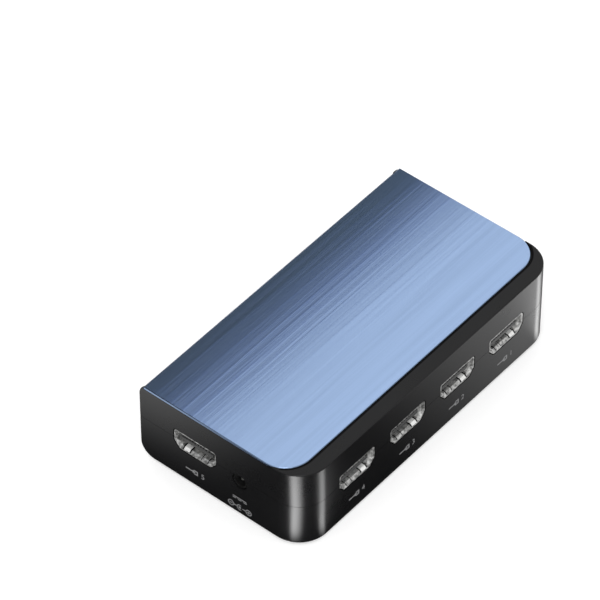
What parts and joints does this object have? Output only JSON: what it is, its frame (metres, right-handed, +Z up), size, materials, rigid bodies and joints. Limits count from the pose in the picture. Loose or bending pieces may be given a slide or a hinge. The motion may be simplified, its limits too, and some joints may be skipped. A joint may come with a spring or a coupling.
{
  "type": "hdmi switch box",
  "caption": "Flat rounded box with a brushed top plate, video sockets on three sides, a power inlet and a select button behind.",
  "frame": {"origin": "on the table, under the middle of the box", "axes": "+X along the box, the row of four inputs faces -Y, the window and the button face +Y, +Z up"},
  "size_m": [0.1116, 0.059, 0.0283],
  "materials": {
    "housing": "glossy black",
    "plate": "brushed and dyed pale blue",
    "adhesive": "sheet adhesive",
    "window": "smoked, polished",
    "rubber": "matt",
    "steel": "zinc plated",
    "board": "green solder mask",
    "nickel": "nickel plated",
    "insulator": "moulded black",
    "gold": "gold plated",
    "lens": "dark lens",
    "lamp": "clear lens on a white base",
    "clear": "clear moulding",
    "button": "glossy black",
    "chip": "moulded epoxy",
    "tin": "tinned",
    "ceramic": "fired ceramic"
  },
  "bodies": {
    "box": {"board_screws": "steel", "case_screws": "steel", "ceramic_capacitors": "ceramic", "chip_resistors": "chip", "circuit_board": "board", "control_chip": "chip", "control_chip_leads": "tin", "crystal": "tin", "dc_jack_housing": "insulator", "dc_jack_pin": "nickel", "dc_jack_spring": "nickel", "electrolytic_capacitors": "tin", "front_window": "window", "hdmi_contacts_input_1": "gold", "hdmi_contacts_input_2": "gold", "hdmi_contacts_input_3": "gold", "hdmi_contacts_input_4": "gold", "hdmi_contacts_input_5": "gold", "hdmi_contacts_output": "gold", "hdmi_insulator_input_1": "insulator", "hdmi_insulator_input_2": "insulator", "hdmi_insulator_input_3": "insulator", "hdmi_insulator_input_4": "insulator", "hdmi_insulator_input_5": "insulator", "hdmi_insulator_output": "insulator", "hdmi_shell_input_1": "nickel", "hdmi_shell_input_2": "nickel", "hdmi_shell_input_3": "nickel", "hdmi_shell_input_4": "nickel", "hdmi_shell_input_5": "nickel", "hdmi_shell_output": "nickel", "indicator_leds": "lamp", "ir_receiver": "lens", "light_guide": "clear", "lower_shell": "housing", "plate_adhesive": "adhesive", "power_inductor": "chip", "power_led": "lamp", "protection_arrays": "chip", "rubber_feet": "rubber", "switch_chip": "chip", "switch_chip_leads": "tin", "tact_switch_body": "chip", "tact_switch_frame": "tin", "top_plate": "plate", "upper_shell": "housing", "voltage_regulator": "chip"},
    "select_button": {"select_button": "button", "tact_switch_plunger": "chip"}
  },
  "joints": [
    {"name": "select_button_press", "type": "slide", "parent": "box", "child": "select_button", "axis": [0, -1, 0], "range_m": [0, 0.0003], "stiffness_N_per_m": 1600}
  ]
}
